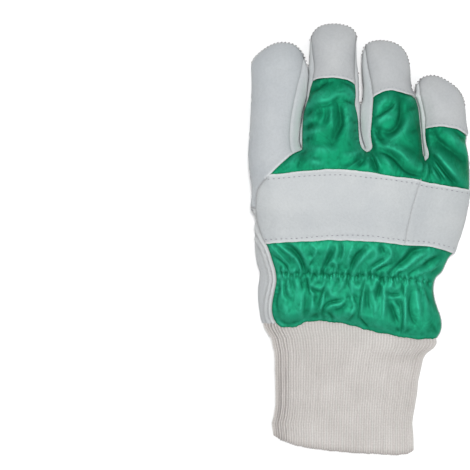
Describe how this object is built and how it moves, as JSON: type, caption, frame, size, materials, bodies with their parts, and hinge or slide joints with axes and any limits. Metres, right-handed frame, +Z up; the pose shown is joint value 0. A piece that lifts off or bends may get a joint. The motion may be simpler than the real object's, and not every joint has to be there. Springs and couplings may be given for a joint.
{
  "type": "fleece-lined work glove",
  "caption": "Right-hand lined work glove: pale leather palm and finger tips, green fabric back, bare knuckle band, gathered wrist and ribbed knit cuff.",
  "frame": {"origin": "middle of the glove's footprint, on the surface that it lies on", "axes": "+Z up through the back of the hand, +Y towards the finger tips, +X towards the little finger"},
  "size_m": [0.1364, 0.2685, 0.0387],
  "materials": {
    "leather": "smooth grain, satin",
    "green_fabric": "shiny satin weave",
    "knit": "matt ribbed knit"
  },
  "bodies": {
    "root": {"palm": "leather", "middle_ring_front": "leather", "thumb": "leather", "fourchette_index_middle": "leather", "fourchette_middle_ring": "leather", "fourchette_ring_little": "leather", "tip_middle": "leather", "tip_ring": "leather", "tip_little": "leather", "knuckle_band": "leather", "knuckle_band_side": "leather", "pulse_patch": "leather", "back_upper": "green_fabric", "back_lower": "green_fabric", "cuff": "knit"}
  },
  "joints": []
}
